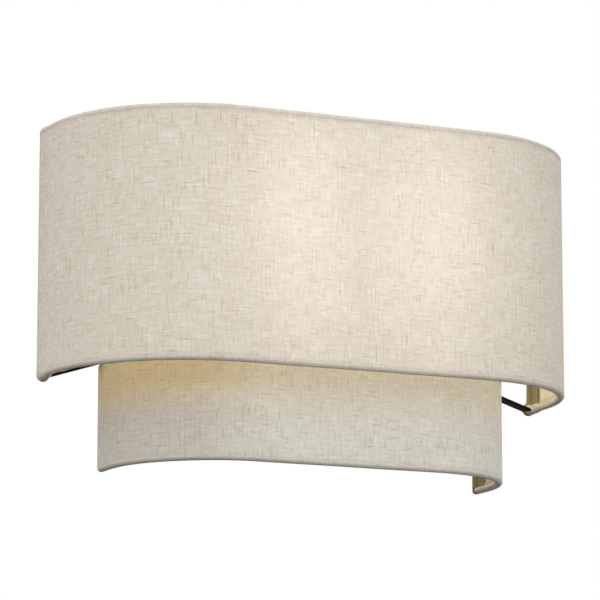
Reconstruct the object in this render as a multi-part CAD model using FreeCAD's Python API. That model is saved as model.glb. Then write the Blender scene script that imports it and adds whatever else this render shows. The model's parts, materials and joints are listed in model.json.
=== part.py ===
import FreeCAD, Part
import math
import os

from FreeCAD import Vector

# Fabric shade wall light: two half-oval linen shades on bent strip brackets, which slide onto a wall pan
# and are clamped by thumb screws. Two candle lamps stand on a bracket in front of the pan.
# Millimetres. +X is along the wall to the viewer's right, +Y goes into the wall, +Z is up.
# The origin is on the wall, in the middle of the wall pan.

# ---------------------------------------------------------------- driving dimensions

# upper shade, measured on the outer face of its linen
upper_width = 305.0
upper_depth = 101.0
upper_straight = 18.0  # straight run of the sides before the corner starts
upper_height = 139.0

# lower shade
tier_side = 35.75  # from the upper shade's side in to the lower one's
tier_front = 22.5
lower_straight = 15.0
lower_drop = 49.0  # how far it shows below the upper shade

# make-up of both shades
shade_wall_gap = 0.5
linen = 0.75
liner_sheet = 0.5
glue_line = 0.05
wire_radius = 1.5
wire_slack = 0.05
corner_fullness = 0.05  # how much fuller a ring's end is than its run
hem_proud = 0.5  # how far the rolled hem stands out from the linen's face
turn_in = 10.0  # linen folded to the inside along every edge

# bent strip brackets, one each side
strip_width = 8.0
strip_sheet = 1.2
strip_wall_gap = 1.5
strip_bend = 1.0  # inside radius of the bends
strip_foot = 0.3  # the arm's underside above the shade's bottom edge
tab_height = 5.0
arm_rise = 26.5  # from the shade's corner to the pan's side
strip_to_pan = 0.2
weld_radius = 1.2
weld_setback = 7.0  # from the wall to the weld on the lower shade's ring
slit_slack = 0.1

# wall pan
pan_width = 130.0
pan_height = 114.3
pan_depth = 20.0
pan_sheet = 1.2
pan_corner = 8.0
pan_edge = 3.0

# mounting strap on the junction box
strap_length = 104.0
strap_height = 22.0
strap_sheet = 2.0
box_screw_near = 69.85  # spacings of the junction box screws that the slots take
box_screw_far = 88.9
box_slot_width = 5.0
strap_centre_hole = 5.2
stud_spacing = 48.0
stud_radius = 2.0
stud_reach = 6.5  # past the pan's face
cap_nut_radius = 5.2
cap_nut_height = 9.5
cap_nut_flange = 1.5
cap_nut_dome = 2.0
ground_screw_x = 12.0

# thumb screws
thumb_screw_spacing = 44.0
thumb_shank_radius = 2.0
thumb_head_radius = 4.75
thumb_head_height = 6.0
thumb_set_in = 5.5  # from the wall to the screw's axis
thumb_slot = 1.2  # width and depth of its screwdriver slot
thumb_collar = 1.0
weld_nut_height = 3.0
knurl_depth = 0.35
knurl_teeth = 28

# socket bracket
bracket_sheet = 1.5
bracket_bend = 1.5
flange_width = 52.0
flange_height = 35.0  # above the shelf
shelf_drop = 5.85  # from the pan's lower edge down to the shelf
shelf_margin = 4.0  # of shelf around the lampholders
shelf_corner = 8.0
bracket_screw_spacing = 40.0
bracket_screw_inset = 6.0  # below the flange's top edge

# lampholders and lamps
lamp_spacing = 82.0
lamp_to_front = 24.5  # from the lower shade's front in to the lamp's axis
holder_radius = 11.0
holder_floor = 8.0
holder_collar = 2.5  # above the cap's thread
holder_rim = 1.0
shell_wall = 0.6
contact_sheet = 0.6
contact_radius = 4.0
button_radius = 1.6
button_rise = 2.0
contact_gap = 0.1  # from the button to the lamp's eyelet
cap_radius = 5.95
cap_height = 17.0
cap_wall = 0.5
cap_flare = 3.0
thread_rings = 5
thread_depth = 0.55
eyelet_radius = 2.2
eyelet_height = 1.0
eyelet_edge = 0.7
insulator_height = 1.4
insulator_rim = 0.4  # around the eyelet
globe_radius = 17.5
globe_height = 68.5
globe_belly = 26.0  # height of the widest place above the neck
globe_tip = 6.0  # radius of the tip
globe_wall = 0.9
neck_radius = 6.8
engine_radius = 3.5
engine_height = 34.0
engine_foot = 2.0  # down into the cap
engine_plate = 1.0
engine_edge = 1.5
nipple_radius = 4.85
nipple_bore = 3.2
nipple_depth = 6.0  # into the holder's floor
nipple_under = 5.0  # below the shelf
nipple_nut_height = 3.5

# wiring
lead_radius = 1.1
lead_pitch = 3.6
lead_rise = 16.0  # above the shelf
lead_bend = 5.0
lead_entry = 2.5  # into the holder's wall
lead_tip_gap = 0.2
grommet_hole = 4.5
grommet_lip = 1.5
block_length = 38.0
block_depth = 10.8
block_height = 12.0
block_edge = 1.0
block_screw_inset = 8.0  # from the block's end
block_screw_hole = 1.6
block_screw_radius = 1.5
block_screw_depth = 3.0
block_entry = 5.0  # how far the leads go in
block_fixing = 5.0  # length of the block's own screw past the pan
ground_radius = 0.9
ground_bend = 6.0
ground_tag_radius = 3.6
ground_tail = 14.0  # straight wire below the strap's screw
ground_drop = 24.0  # where the wire has come to the terminal block

# fits
running = 0.05
clearance = 0.3
touch = 0.02  # between faces that rest on each other

# small screws and nuts
m4_nut_flats = 7.0
m4_nut_height = 3.2
screw_head_radius = 3.6
screw_head_height = 2.4
screw_slot = 1.0
screw_past_nut = 1.0

# ---------------------------------------------------------------- derived places

upper_corner = upper_depth - upper_straight
lower_width = upper_width - 2 * tier_side
lower_depth = upper_depth - tier_front
lower_corner = lower_depth - lower_straight
upper_bottom = -upper_height / 2
upper_top = upper_height / 2
hem_radius = wire_radius + linen
wire_inset = hem_radius - hem_proud
wire_back = shade_wall_gap + hem_radius
pocket_inner = linen + liner_sheet + 2 * glue_line

strip_half = strip_sheet / 2
strip_back = -strip_wall_gap
strip_front = -strip_wall_gap - strip_width
tab_x = upper_width / 2 - wire_inset - wire_radius - touch - strip_half
arm_foot_z = upper_bottom + strip_foot + strip_half
rail_x = pan_width / 2 + strip_to_pan + strip_half
arm_slope = arm_rise / (tab_x - rail_x)
rail_end_z = arm_foot_z + arm_rise

lower_ring_x = lower_width / 2 - wire_inset
arm_cosine = math.cos(math.atan(arm_slope))
arm_z_over_ring = arm_foot_z + arm_slope * (tab_x - lower_ring_x)
lower_ring_z = arm_z_over_ring - (strip_half + hem_radius + wire_slack) / arm_cosine
lower_top = lower_ring_z + hem_radius
lower_bottom = upper_bottom - lower_drop

pan_face = -pan_depth
shelf_top = -pan_height / 2 - shelf_drop
shelf_under = shelf_top - bracket_sheet
lamp_setout = lower_depth - lamp_to_front
shelf_width = lamp_spacing + 2 * (holder_radius + shelf_margin)
shelf_reach = lamp_setout + holder_radius + shelf_margin
flange_top = shelf_top + flange_height
bracket_screw_z = flange_top - bracket_screw_inset
lead_z = shelf_top + lead_rise
lamp_x = lamp_spacing / 2
lamp_y = -lamp_setout
shell_radius = cap_radius + running
shell_outer = shell_radius + shell_wall
holder_bore = shell_outer + running
contact_base_z = shelf_top + holder_floor
button_top = contact_base_z + button_rise
eyelet_bottom = button_top + contact_gap
cap_bottom = eyelet_bottom + eyelet_height + insulator_height
cap_top = cap_bottom + cap_height
holder_top = cap_top + holder_collar
flare_bottom = holder_top + clearance
globe_bottom = flare_bottom + cap_flare

sides = {"left": -1, "right": 1}


# ---------------------------------------------------------------- making shapes


def block(x0, x1, y0, y1, z0, z1):
    low = Vector(min(x0, x1), min(y0, y1), min(z0, z1))
    return Part.makeBox(abs(x1 - x0), abs(y1 - y0), abs(z1 - z0), low)


def rod(radius, start, end):
    start = Vector(*start)
    run = Vector(*end) - start
    return Part.makeCylinder(radius, run.Length, start, run)


def ball(radius, centre):
    return Part.makeSphere(radius, Vector(*centre))


def fuse(shapes):
    first = shapes[0]
    joined = first.multiFuse(shapes[1:]) if len(shapes) > 1 else first
    return joined.removeSplitter()


def mirrored(shape):
    """The same piece on the other side of the light."""
    return shape.mirror(Vector(0, 0, 0), Vector(1, 0, 0))


def on_side(shape, side):
    return shape if side > 0 else mirrored(shape)


def along(shape, axis):
    """The shape's straight edges that run along a row axis."""
    straight = [e for e in shape.Edges if e.Curve.TypeId == "Part::GeomLine"]
    return [e for e in straight if abs(getattr(e.Curve.Direction, axis)) > 0.99]


def turned(profile, x, y):
    """A solid turned about a vertical axis from (radius, height) points."""
    points = [Vector(x + r, y, z) for r, z in profile]
    face = Part.Face(Part.makePolygon(points + points[:1]))
    return face.revolve(Vector(x, y, 0), Vector(0, 0, 1), 360)


def prism(flats, start, end, corners=6):
    """A nut's or key's body between two points on its axis."""
    start = Vector(*start)
    axis = Vector(*end) - start
    across = Vector(0, 0, 1) if abs(axis.z) < abs(axis.x) + abs(axis.y) else Vector(1, 0, 0)
    other = axis.cross(across)
    other.normalize()
    radius = flats / 2 / math.cos(math.pi / corners)
    points = []
    for i in range(corners + 1):
        angle = 2 * math.pi * (i % corners) / corners
        points.append(start + across * (radius * math.cos(angle)) + other * (radius * math.sin(angle)))
    return Part.Face(Part.makePolygon(points)).extrude(axis)


def knurled(radius, start, end):
    """A round head with a straight knurl, between two points on its axis."""
    start = Vector(*start)
    axis = Vector(*end) - start
    across = Vector(0, 0, 1)
    other = axis.cross(across)
    other.normalize()
    points = []
    for i in range(2 * knurl_teeth + 1):
        angle = math.pi * (i % (2 * knurl_teeth)) / knurl_teeth
        reach = radius - knurl_depth * (i % 2)
        points.append(start + across * (reach * math.cos(angle)) + other * (reach * math.sin(angle)))
    return Part.Face(Part.makePolygon(points)).extrude(axis)


def bent_path(points, bend):
    """A wire of straight runs with a tangent arc of radius bend at every inner point."""
    points = [Vector(*p) for p in points]
    edges = []
    start = points[0]
    for before, corner, after in zip(points, points[1:], points[2:]):
        back = before - corner
        on = after - corner
        back.normalize()
        on.normalize()
        half = back.getAngle(on) / 2
        reach = bend / math.tan(half)
        middle = back + on
        middle.normalize()
        inside = corner + middle * (bend / math.sin(half) - bend)
        edges.append(Part.LineSegment(start, corner + back * reach).toShape())
        edges.append(Part.Arc(corner + back * reach, inside, corner + on * reach).toShape())
        start = corner + on * reach
    edges.append(Part.LineSegment(start, points[-1]).toShape())
    return Part.Wire(edges)


def swept(path, section):
    return path.makePipeShell([section], True, False)


def lead(points, radius, bend):
    """A round wire along straight runs and bends."""
    path = bent_path(points, bend)
    run = Vector(*points[1]) - Vector(*points[0])
    circle = Part.Wire(Part.makeCircle(radius, Vector(*points[0]), run))
    return swept(path, circle)


# ---------------------------------------------------------------- half-oval plan of the shades


def half_oval(shade, inset, back):
    """Edges of the plan from the left wall end round the front to the right, at an inset from the linen."""
    width, depth, corner = shade
    side = width / 2 - inset
    front = depth - inset
    turn = corner - inset
    straight = depth - corner
    flat = width / 2 - corner
    mid = turn * math.sqrt(0.5)
    left_arc = Part.Arc(
        Vector(-side, -straight, 0),
        Vector(-flat - mid, -straight - mid, 0),
        Vector(-flat, -front, 0),
    )
    right_arc = Part.Arc(
        Vector(flat, -front, 0),
        Vector(flat + mid, -straight - mid, 0),
        Vector(side, -straight, 0),
    )
    return [
        Part.LineSegment(Vector(-side, -back, 0), Vector(-side, -straight, 0)).toShape(),
        left_arc.toShape(),
        Part.LineSegment(Vector(-flat, -front, 0), Vector(flat, -front, 0)).toShape(),
        right_arc.toShape(),
        Part.LineSegment(Vector(side, -straight, 0), Vector(side, -back, 0)).toShape(),
    ]


def wall(shade, outer, inner, back, z0, z1):
    """A curved wall between two insets of the plan."""
    edges = half_oval(shade, outer, back) + half_oval(shade, inner, back)
    for side in sides.values():
        far = Vector(side * (shade[0] / 2 - outer), -back, 0)
        near = Vector(side * (shade[0] / 2 - inner), -back, 0)
        edges.append(Part.LineSegment(far, near).toShape())
    face = Part.Face(Part.Wire(Part.__sortEdges__(edges)))
    face.translate(Vector(0, 0, z0))
    return face.extrude(Vector(0, 0, z1 - z0))


def ring(shade, radius, z):
    """A round bar that follows the wire's line at one height, with ball ends."""
    width, depth, corner = shade
    side = width / 2 - wire_inset
    straight = depth - corner
    flat = width / 2 - corner
    front = depth - wire_inset
    bars = [rod(radius, (-flat, -front, z), (flat, -front, z))]
    section = Part.Face(Part.Wire(Part.makeCircle(radius, Vector(flat, -front, z), Vector(1, 0, 0))))
    bend = section.revolve(Vector(flat, -straight, z), Vector(0, 0, 1), 90)
    straight_run = rod(radius, (side, -straight, z), (side, -wire_back, z))
    end = ball(radius + corner_fullness, (side, -wire_back, z))
    for piece in (bend, straight_run, end):
        bars.append(piece)
        bars.append(mirrored(piece))
    return fuse(bars)


def posts(shade, radius, z0, z1):
    """The two upright bars at the wall ends."""
    side = shade[0] / 2 - wire_inset
    return [rod(radius, (s * side, -wire_back, z0), (s * side, -wire_back, z1)) for s in sides.values()]


def frame(shade, radius, low, high):
    """Both rings and the two upright bars as one solid."""
    return fuse([ring(shade, radius, low), ring(shade, radius, high)] + posts(shade, radius, low, high))


# ---------------------------------------------------------------- shades


def shade_cover(shade, bottom, top, cut_outs):
    """Linen laid round the liner, rolled over the wire on every edge and folded to the inside."""
    low = bottom + hem_radius
    high = top - hem_radius
    rolls = frame(shade, hem_radius, low, high)
    bores = frame(shade, wire_radius + wire_slack, low, high)
    pocket = wall(shade, linen, pocket_inner, wire_back, low, high)
    face = wall(shade, 0, linen, wire_back, low, high)
    fold = wall(shade, pocket_inner, pocket_inner + linen, wire_back, low, high)
    half_width = shade[0] / 2
    fold_end = wire_back + turn_in
    window = block(-half_width, half_width, -fold_end, -shade[1], low + turn_in, high - turn_in)
    fold = fold.cut(window)
    cover = fuse([rolls.cut(pocket), face, fold])
    return cover.cut(fuse([bores] + cut_outs))


def shade_liner(shade, bottom, top):
    """Stiff translucent sheet behind the linen."""
    edge = hem_radius + wire_radius + 2 * wire_slack
    back = shade_wall_gap + edge
    return wall(shade, linen + glue_line, linen + glue_line + liner_sheet, back, bottom + edge, top - edge)


def end_wires(shade, bottom, top):
    """Upright wires welded between the rings at the wall."""
    edge = hem_radius + wire_radius + touch
    return posts(shade, wire_radius, bottom + edge, top - edge)


def bracket_right():
    """One bent strip: a tab on each of the upper shade's rings, two sloping arms and a rail on the pan."""
    tab_end = upper_bottom + tab_height
    points = [
        (tab_x, strip_back, tab_end),
        (tab_x, strip_back, arm_foot_z),
        (rail_x, strip_back, rail_end_z),
        (rail_x, strip_back, -rail_end_z),
        (tab_x, strip_back, -arm_foot_z),
        (tab_x, strip_back, -tab_end),
    ]
    path = bent_path(points, strip_bend + strip_half)
    section = Part.makePolygon([
        Vector(tab_x - strip_half, strip_back, tab_end),
        Vector(tab_x + strip_half, strip_back, tab_end),
        Vector(tab_x + strip_half, strip_front, tab_end),
        Vector(tab_x - strip_half, strip_front, tab_end),
        Vector(tab_x - strip_half, strip_back, tab_end),
    ])
    strip = swept(path, section)
    weld = rod(
        weld_radius,
        (lower_ring_x, -weld_setback, lower_ring_z + wire_radius + touch),
        (lower_ring_x, -weld_setback, arm_z_over_ring),
    )
    slots = []
    slot_radius = thumb_shank_radius + slit_slack
    for side in (-1, 1):
        z = side * thumb_screw_spacing / 2
        near = rail_x - strip_sheet
        far = rail_x + strip_sheet
        slots.append(rod(slot_radius, (near, -thumb_set_in, z), (far, -thumb_set_in, z)))
        slots.append(block(near, far, -thumb_set_in, 0, z - slot_radius, z + slot_radius))
    return fuse([strip, weld]).cut(fuse(slots))


def tab_slits():
    """Slits in the upper cover's hems where the brackets' tabs reach the ring wires."""
    slits = []
    for end in (-1, 1):
        for side in sides.values():
            slits.append(
                block(
                    side * (tab_x - strip_half - 2 * strip_sheet),
                    side * (tab_x + strip_half + slit_slack),
                    strip_back + slit_slack,
                    strip_front - slit_slack,
                    end * (upper_height / 2 + strip_sheet),
                    end * (upper_height / 2 - tab_height - slit_slack),
                )
            )
    return slits


def weld_holes():
    """Holes in the lower cover's top hem for the welds under the arms."""
    return [
        rod(
            weld_radius + slit_slack,
            (s * lower_ring_x, -weld_setback, lower_ring_z),
            (s * lower_ring_x, -weld_setback, arm_z_over_ring),
        )
        for s in sides.values()
    ]


# ---------------------------------------------------------------- wall unit


def mounting_strap():
    half = strap_length / 2
    tall = strap_height / 2
    bar = block(-half, half, 0, -strap_sheet, -tall, tall)
    bar = bar.makeFillet(tall / 2, along(bar, "y"))
    slot_radius = box_slot_width / 2
    cuts = [rod(strap_centre_hole, (0, 0, 0), (0, -strap_sheet, 0))]
    for side in sides.values():
        near = side * box_screw_near / 2
        far = side * box_screw_far / 2
        cuts.append(rod(slot_radius, (near, 0, 0), (near, -strap_sheet, 0)))
        cuts.append(rod(slot_radius, (far, 0, 0), (far, -strap_sheet, 0)))
        cuts.append(block(near, far, 0, -strap_sheet, -slot_radius, slot_radius))
        stud_x = side * stud_spacing / 2
        cuts.append(rod(stud_radius + touch, (stud_x, 0, 0), (stud_x, -strap_sheet, 0)))
    cuts.append(rod(stud_radius + touch, (ground_screw_x, 0, 0), (ground_screw_x, -strap_sheet, 0)))
    return bar.cut(fuse(cuts))


def strap_studs():
    reach = pan_depth + stud_reach
    places = [side * stud_spacing / 2 for side in sides.values()]
    return [rod(stud_radius, (x, -touch, 0), (x, -reach, 0)) for x in places]


def hex_nut(start, end):
    """An M4 nut with a plain bore."""
    return prism(m4_nut_flats, start, end).cut(rod(stud_radius + touch, start, end))


def stud_nuts():
    nuts = []
    for side in sides.values():
        x = side * stud_spacing / 2
        back = -strap_sheet - touch
        nuts.append(hex_nut((x, back, 0), (x, back - m4_nut_height, 0)))
    return nuts


def pan_shell(grow):
    """The pan's outer form, taken in by grow."""
    half = pan_width / 2 - grow
    tall = pan_height / 2 - grow
    form = block(-half, half, 0, pan_face + grow, -tall, tall)
    form = form.makeFillet(pan_corner - grow, along(form, "y"))
    face = pan_face + grow
    front = [e for e in form.Edges if abs(e.BoundBox.YMin - face) < touch and e.BoundBox.YLength < touch]
    return form.makeFillet(pan_edge - grow, front)


def wall_pan():
    pan = pan_shell(0).cut(pan_shell(pan_sheet))
    deep = pan_face - pan_sheet
    holes = []
    for side in sides.values():
        stud_x = side * stud_spacing / 2
        holes.append(rod(stud_radius + clearance, (stud_x, 0, 0), (stud_x, deep, 0)))
        grommet_x = side * lamp_x
        holes.append(rod(grommet_hole, (grommet_x, pan_face / 2, lead_z), (grommet_x, deep, lead_z)))
        screw_x = side * bracket_screw_spacing / 2
        holes.append(rod(stud_radius + clearance / 2, (screw_x, pan_face / 2, bracket_screw_z),
                         (screw_x, deep, bracket_screw_z)))
        for end in (-1, 1):
            z = end * thumb_screw_spacing / 2
            holes.append(rod(thumb_shank_radius + clearance, (side * pan_width / 4, -thumb_set_in, z),
                             (side * pan_width, -thumb_set_in, z)))
    holes.append(rod(stud_radius + clearance / 2, (0, pan_face / 2, lead_z), (0, deep, lead_z)))
    return pan.cut(fuse(holes))


def weld_nuts():
    nuts = []
    inside = pan_width / 2 - pan_sheet - touch
    for side in sides.values():
        for end in (-1, 1):
            start = (side * inside, -thumb_set_in, end * thumb_screw_spacing / 2)
            stop = (side * (inside - weld_nut_height), -thumb_set_in, end * thumb_screw_spacing / 2)
            body = prism(m4_nut_flats, start, stop)
            nuts.append(body.cut(rod(thumb_shank_radius + running, start, stop)))
    return nuts


def thumb_screw():
    """The right upper one. Its shank runs in the weld nut and its head clamps the bracket's rail."""
    y = -thumb_set_in
    z = thumb_screw_spacing / 2
    under_head = rail_x + strip_half + strip_to_pan
    head_end = under_head + thumb_head_height
    tip = pan_width / 2 - pan_sheet - weld_nut_height - 2 * strip_sheet
    collar_end = under_head + thumb_collar
    collar = rod(thumb_head_radius - 2 * knurl_depth, (under_head, y, z), (collar_end, y, z))
    head = knurled(thumb_head_radius, (collar_end, y, z), (head_end, y, z))
    slot = block(head_end - thumb_slot, head_end, y - thumb_head_radius, y + thumb_head_radius,
                 z - thumb_slot / 2, z + thumb_slot / 2)
    shank = rod(thumb_shank_radius, (tip, y, z), (under_head, y, z))
    return fuse([collar, head, shank]).cut(slot)


def cap_nut():
    """The right one, a knurled blind nut on its stud."""
    x = stud_spacing / 2
    back = pan_face - strip_to_pan
    front = back - cap_nut_height
    flange_front = back - cap_nut_flange
    dome_back = front + cap_nut_dome
    flange = rod(cap_nut_radius, (x, back, 0), (x, flange_front, 0))
    body = knurled(cap_nut_radius - 2 * clearance, (x, flange_front, 0), (x, dome_back, 0))
    dome_foot = cap_nut_radius - cap_nut_dome / 2
    dome_tip = dome_foot - cap_nut_dome
    dome = Part.makeCone(dome_foot, dome_tip, cap_nut_dome, Vector(x, dome_back, 0), Vector(0, -1, 0))
    bore = rod(stud_radius + running, (x, back, 0), (x, pan_face - stud_reach - clearance, 0))
    return fuse([flange, body, dome]).cut(bore)


def socket_bracket():
    """Angle of sheet steel: a narrow flange on the pan and a wide shelf for the lampholders."""
    back = pan_face - touch
    angle = block(-flange_width / 2, flange_width / 2, back, back - bracket_sheet, shelf_under, flange_top)
    shelf = block(-shelf_width / 2, shelf_width / 2, back - bracket_sheet - bracket_bend, -shelf_reach,
                  shelf_under, shelf_top)
    shelf = shelf.makeFillet(shelf_corner, [
        e for e in along(shelf, "z") if e.BoundBox.YMax < lamp_y
    ])
    root = block(-flange_width / 2, flange_width / 2, back, back - bracket_sheet - 2 * bracket_bend,
                 shelf_under, shelf_top + bracket_bend)
    hollow = block(-flange_width / 2, flange_width / 2, back - bracket_sheet, -shelf_reach,
                   shelf_top, shelf_top + 2 * bracket_bend)
    hollow = hollow.makeFillet(bracket_bend, [
        e for e in along(hollow, "x")
        if abs(e.BoundBox.YMin - (back - bracket_sheet)) < touch and abs(e.BoundBox.ZMin - shelf_top) < touch
    ])
    body = fuse([angle, shelf, root.cut(hollow)])
    outer_bend = [
        e for e in along(body, "x")
        if abs(e.BoundBox.YMin - back) < touch and abs(e.BoundBox.ZMin - shelf_under) < touch
    ]
    body = body.makeFillet(bracket_bend + bracket_sheet / 2, outer_bend)
    holes = []
    front = pan_face - 2 * bracket_sheet
    for side in sides.values():
        x = side * lamp_x
        holes.append(rod(nipple_radius + clearance / 2, (x, lamp_y, shelf_under), (x, lamp_y, shelf_top)))
        screw_x = side * bracket_screw_spacing / 2
        holes.append(rod(stud_radius + clearance / 2, (screw_x, pan_face, bracket_screw_z),
                         (screw_x, front, bracket_screw_z)))
    holes.append(rod(stud_radius + clearance / 2, (0, pan_face, lead_z), (0, front, lead_z)))
    return body.cut(fuse(holes))


def pan_screw(x, z, tip_y):
    """A slotted round head on the bracket's flange and a shank back through the pan."""
    seat = pan_face - bracket_sheet - 2 * touch
    head = rod(screw_head_radius, (x, seat, z), (x, seat - screw_head_height, z))
    middle = seat - screw_head_height / 2
    head = head.makeFillet(screw_head_height / 2, [
        e for e in head.Edges if abs(e.BoundBox.YMax - (seat - screw_head_height)) < touch
    ])
    slot = block(x - screw_head_radius, x + screw_head_radius, seat - screw_head_height, middle,
                 z - screw_slot / 2, z + screw_slot / 2)
    shank = rod(stud_radius, (x, seat, z), (x, tip_y, z))
    return fuse([head, shank]).cut(slot)


def bracket_screws():
    tip = pan_face + pan_sheet + m4_nut_height + screw_past_nut
    return [pan_screw(s * bracket_screw_spacing / 2, bracket_screw_z, tip) for s in sides.values()]


def bracket_nuts():
    nuts = []
    start = pan_face + pan_sheet + touch
    for side in sides.values():
        x = side * bracket_screw_spacing / 2
        nuts.append(hex_nut((x, start, bracket_screw_z), (x, start + m4_nut_height, bracket_screw_z)))
    return nuts


# ---------------------------------------------------------------- lampholders


def lead_heights():
    """The line lead's height and the neutral lead's."""
    return lead_z - lead_pitch / 2, lead_z + lead_pitch / 2


def lampholder():
    """The right one: a moulded cup that stands on the shelf, open at the top."""
    bottom = shelf_top + touch
    body = turned([
        (0, bottom), (holder_radius, bottom), (holder_radius, holder_top - holder_rim),
        (holder_radius - holder_rim, holder_top), (0, holder_top),
    ], lamp_x, lamp_y)
    nipple_end = shelf_top + nipple_depth + running
    cuts = [
        rod(holder_bore, (lamp_x, lamp_y, contact_base_z), (lamp_x, lamp_y, holder_top)),
        rod(nipple_radius + running, (lamp_x, lamp_y, bottom), (lamp_x, lamp_y, nipple_end)),
    ]
    outside = lamp_y + holder_radius
    for z in lead_heights():
        mouth = (lamp_x, outside + touch, z)
        cuts.append(rod(lead_radius + running, (lamp_x, outside - lead_entry, z), mouth))
    return body.cut(fuse(cuts))


def screw_shell():
    bottom = contact_base_z + contact_sheet + clearance
    top = holder_top - holder_rim
    return turned([(shell_radius, bottom), (shell_outer, bottom), (shell_outer, top), (shell_radius, top)],
                  lamp_x, lamp_y)


def centre_contact():
    """A brass disc on the holder's floor with a raised button."""
    base = contact_base_z + touch
    return turned([
        (0, base), (contact_radius, base), (contact_radius, base + contact_sheet),
        ((contact_radius + button_radius) / 2, base + contact_sheet),
        (button_radius, button_top), (0, button_top),
    ], lamp_x, lamp_y)


def holder_nipple():
    low = (lamp_x, lamp_y, shelf_under - nipple_under)
    high = (lamp_x, lamp_y, shelf_top + nipple_depth)
    return rod(nipple_radius, low, high).cut(rod(nipple_bore, low, high))


def nipple_nut():
    start = (lamp_x, lamp_y, shelf_under - touch)
    end = (lamp_x, lamp_y, shelf_under - nipple_nut_height)
    return prism(3 * nipple_radius, start, end).cut(rod(nipple_radius + touch, start, end))


# ---------------------------------------------------------------- lamps


def lamp_cap():
    """Candle screw cap, with its thread drawn as plain rings and a flare that takes the globe."""
    pitch = cap_height / (thread_rings + 1)
    root = cap_radius - thread_depth
    inside = root - cap_wall
    outline = [(inside, cap_bottom), (root, cap_bottom)]
    for i in range(thread_rings):
        z = cap_bottom + (i + 0.5) * pitch
        outline.append((root, z))
        outline.append((cap_radius, z + 0.35 * pitch))
        outline.append((cap_radius, z + 0.5 * pitch))
        outline.append((root, z + 0.85 * pitch))
    outline.append((root, flare_bottom))
    outline.append((neck_radius, globe_bottom))
    outline.append((neck_radius - globe_wall, globe_bottom))
    outline.append((inside, flare_bottom))
    return turned(outline, lamp_x, lamp_y)


def lamp_insulator():
    top = cap_bottom - touch
    return turned([
        (0, top - insulator_height + touch), (eyelet_radius + insulator_rim, top - insulator_height + touch),
        (cap_radius - 2 * insulator_rim, top), (0, top),
    ], lamp_x, lamp_y)


def lamp_eyelet():
    top = eyelet_bottom + eyelet_height - touch
    return turned([
        (0, eyelet_bottom), (eyelet_radius - eyelet_edge, eyelet_bottom),
        (eyelet_radius, top - eyelet_edge / 2), (eyelet_radius, top), (0, top),
    ], lamp_x, lamp_y)


def arc(centre, radius, start, end):
    """An arc in the lamp's XZ plane, between two angles in radians from +X towards +Z."""
    points = []
    for angle in (start, (start + end) / 2, end):
        across = centre[0] + radius * math.cos(angle)
        up = centre[1] + radius * math.sin(angle)
        points.append(Vector(lamp_x + across, lamp_y, globe_bottom + touch + up))
    return Part.Arc(*points).toShape()


def globe_solid(taken_in):
    """Candle globe of four tangent arcs: neck, lower belly, long upper taper and round tip."""
    neck_step = globe_radius - neck_radius
    neck_arc = (neck_step**2 + globe_belly**2) / (2 * neck_step) - globe_radius
    rise = globe_height - globe_tip - globe_belly
    taper = (globe_radius**2 + rise**2 - globe_tip**2) / (2 * (globe_radius - globe_tip))
    neck_centre = (neck_radius + neck_arc, 0)
    neck_angle = math.atan2(globe_belly, -neck_centre[0])
    tip_angle = math.atan2(rise, taper - globe_radius)
    edges = [
        arc(neck_centre, neck_arc + taken_in, math.pi, neck_angle),
        arc((0, globe_belly), globe_radius - taken_in, neck_angle - math.pi, 0),
        arc((globe_radius - taper, globe_belly), taper - taken_in, 0, tip_angle),
        arc((0, globe_height - globe_tip), globe_tip - taken_in, tip_angle, math.pi / 2),
    ]
    base = Vector(lamp_x, lamp_y, globe_bottom + touch)
    rim = edges[0].valueAt(edges[0].FirstParameter)
    tip = edges[-1].valueAt(edges[-1].LastParameter)
    outline = [Part.LineSegment(base, rim).toShape()] + edges + [Part.LineSegment(tip, base).toShape()]
    return Part.Face(Part.Wire(outline)).revolve(base, Vector(0, 0, 1), 360)


def lamp_globe():
    return globe_solid(0).cut(globe_solid(globe_wall))


def lamp_light_engine():
    """The lit column inside the globe, standing in the cap's mouth."""
    foot = globe_bottom - engine_foot
    plate = neck_radius - globe_wall - 2 * clearance
    plate_top = globe_bottom + engine_plate
    neck = engine_radius * 0.6
    top = plate_top + engine_height
    return turned([
        (0, foot), (plate - engine_plate, foot), (plate, plate_top - engine_plate),
        (plate, plate_top), (neck, plate_top),
        (neck, plate_top + engine_height * 0.35), (engine_radius, plate_top + engine_height * 0.4),
        (engine_radius, top - engine_edge), (engine_radius - engine_edge, top), (0, top),
    ], lamp_x, lamp_y)


# ---------------------------------------------------------------- wiring


def lead_grommet():
    """Rubber ring clipped into the pan's face."""
    inside = pan_face + pan_sheet
    lip = grommet_hole + grommet_lip
    hole = lead_pitch / 2 + lead_radius + running
    z = lead_z
    x = lamp_x
    sleeve = rod(grommet_hole - touch, (x, inside + grommet_lip, z), (x, pan_face - grommet_lip, z))
    back = rod(lip, (x, inside + touch, z), (x, inside + grommet_lip, z))
    front = rod(lip, (x, pan_face - touch, z), (x, pan_face - grommet_lip, z))
    body = fuse([sleeve, back, front])
    return body.cut(rod(hole, (x, inside + 2 * grommet_lip, z), (x, pan_face - 2 * grommet_lip, z)))


def block_y():
    """The terminal block's two faces, front and back."""
    front = pan_face + pan_sheet + touch
    return front, front + block_depth


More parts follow.
